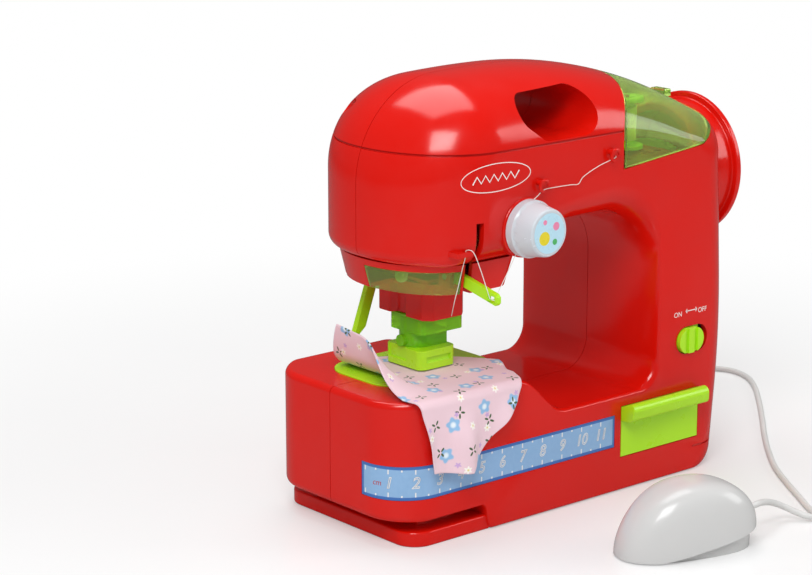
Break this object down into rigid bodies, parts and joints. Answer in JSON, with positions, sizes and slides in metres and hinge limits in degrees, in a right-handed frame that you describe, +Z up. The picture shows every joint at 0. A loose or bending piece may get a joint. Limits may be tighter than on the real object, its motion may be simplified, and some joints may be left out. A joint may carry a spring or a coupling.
{
  "type": "toy_sewing_machine",
  "caption": "Battery toy sewing machine with moulded shells, clear spool lid, handwheel, tension dial, needle guard, drawer, cloth and corded foot pedal",
  "frame": {"origin": "On the floor under the base, on the battery door's lower face, in the seam plane between the half shells", "axes": "+X towards the handwheel, +Y towards the rear half shell, +Z up"},
  "size_m": [0.2628, 0.1885, 0.1633],
  "materials": {
    "red_shell": "glossy moulded, red",
    "lime": "satin moulded, lime",
    "clear_green": "transparent moulded, green",
    "clear_white": "translucent moulded, white",
    "steel": "drawn wire and turned pins",
    "grey_plastic": "natural moulded",
    "black_plastic": "dark moulded",
    "cell_jacket": "plain jacketed cells",
    "printed_film": "printed film",
    "white_plastic": "satin moulded, off-white",
    "printed_cotton": "printed plain weave",
    "sewing_thread": "spun thread"
  },
  "bodies": {
    "machine": {"front_shell": "red_shell", "rear_shell": "red_shell", "head_skirt": "red_shell", "handwheel_collar": "red_shell", "spool_deck": "red_shell", "battery_door": "red_shell", "needle_plate": "lime", "lamp_lens": "clear_green", "lamp_led": "clear_white", "lifter_pin": "steel", "take_up_pin": "steel", "tension_spring": "steel", "motor": "steel", "battery_contacts": "steel", "case_screws": "steel", "pedal_hinge_pin": "steel", "pedal_spring": "steel", "shaft_bushes": "grey_plastic", "motor_cradle": "grey_plastic", "drawer_guide": "grey_plastic", "switch_body": "black_plastic", "battery_box": "black_plastic", "pedal_switch": "black_plastic", "battery_cells": "cell_jacket", "ruler_strip": "printed_film", "pedal_base": "white_plastic", "pedal_cord": "white_plastic", "cord_grommet": "white_plastic", "fabric_piece": "printed_cotton"},
    "lid": {"spool_lid": "clear_green"},
    "drawer": {"drawer": "lime"},
    "button": {"power_button": "lime"},
    "dial": {"tension_dial": "clear_white"},
    "handwheel": {"handwheel_knob": "lime", "main_shaft": "steel", "drive_gear": "grey_plastic", "crank_disc": "grey_plastic"},
    "rotor": {"motor_pinion": "grey_plastic"},
    "needle_carrier": {"needle_bar": "steel", "needle": "steel"},
    "presser": {"needle_block": "red_shell", "needle_guard": "clear_green", "presser_foot": "lime"},
    "lifter": {"presser_lifter": "lime"},
    "take_up": {"take_up_lever": "lime"},
    "spool": {"thread_spool": "lime", "spool_thread": "sewing_thread"},
    "pedal": {"pedal_cover": "white_plastic"}
  },
  "joints": [
    {"name": "lid_lift", "type": "slide", "parent": "machine", "child": "lid", "axis": [0, 0, 1], "range_m": [0, 0.035]},
    {"name": "drawer_slide", "type": "slide", "parent": "machine", "child": "drawer", "axis": [0, -1, 0], "range_m": [0, 0.042]},
    {"name": "switch_slide", "type": "slide", "parent": "machine", "child": "button", "axis": [1, 0, 0], "range_m": [0, 0.003]},
    {"name": "tension_dial_turn", "type": "hinge", "parent": "machine", "child": "dial", "pos_m": [-0.028, -0.045, 0.1104], "axis": [0, -1, 0], "range_deg": [-150, 150]},
    {"name": "handwheel_spin", "type": "hinge", "parent": "machine", "child": "handwheel", "pos_m": [0.05, 0, 0.1124], "axis": [1, 0, 0], "continuous": true},
    {"name": "motor_spin", "type": "hinge", "parent": "machine", "child": "rotor", "pos_m": [0.075, 0, 0.09365], "axis": [1, 0, 0], "continuous": true},
    {"name": "needle_slide", "type": "slide", "parent": "machine", "child": "needle_carrier", "axis": [0, 0, 1], "range_m": [0, 0.01]},
    {"name": "take_up_swing", "type": "hinge", "parent": "machine", "child": "take_up", "pos_m": [-0.0492, -0.022, 0.0934], "axis": [-1, 0, 0], "range_deg": [0, 30]},
    {"name": "presser_slide", "type": "slide", "parent": "machine", "child": "presser", "axis": [0, 0, 1], "range_m": [0, 0.005]},
    {"name": "lifter_swing", "type": "hinge", "parent": "machine", "child": "lifter", "pos_m": [-0.05, 0.0201, 0.0918], "axis": [0, 1, 0], "range_deg": [0, 40]},
    {"name": "spool_spin", "type": "hinge", "parent": "machine", "child": "spool", "pos_m": [0.044, -0.014, 0.135], "axis": [0, 0, 1], "continuous": true},
    {"name": "pedal_press", "type": "hinge", "parent": "machine", "child": "pedal", "pos_m": [-0.02419, -0.09121, 0.003], "axis": [0.2756, 0.9613, 0], "range_deg": [0, 4.5], "stiffness_Nm_per_rad": 0.2, "springref_deg": -5.73, "deforming": ["pedal_spring"]}
  ],
  "couplings": [
    {"joint": "motor_spin", "follows": "handwheel_spin", "ratio": -4},
    {"joint": "take_up_swing", "follows": "needle_slide", "rad_per_m": 52.36},
    {"joint": "lifter_swing", "follows": "presser_slide", "rad_per_m": 139.63}
  ]
}
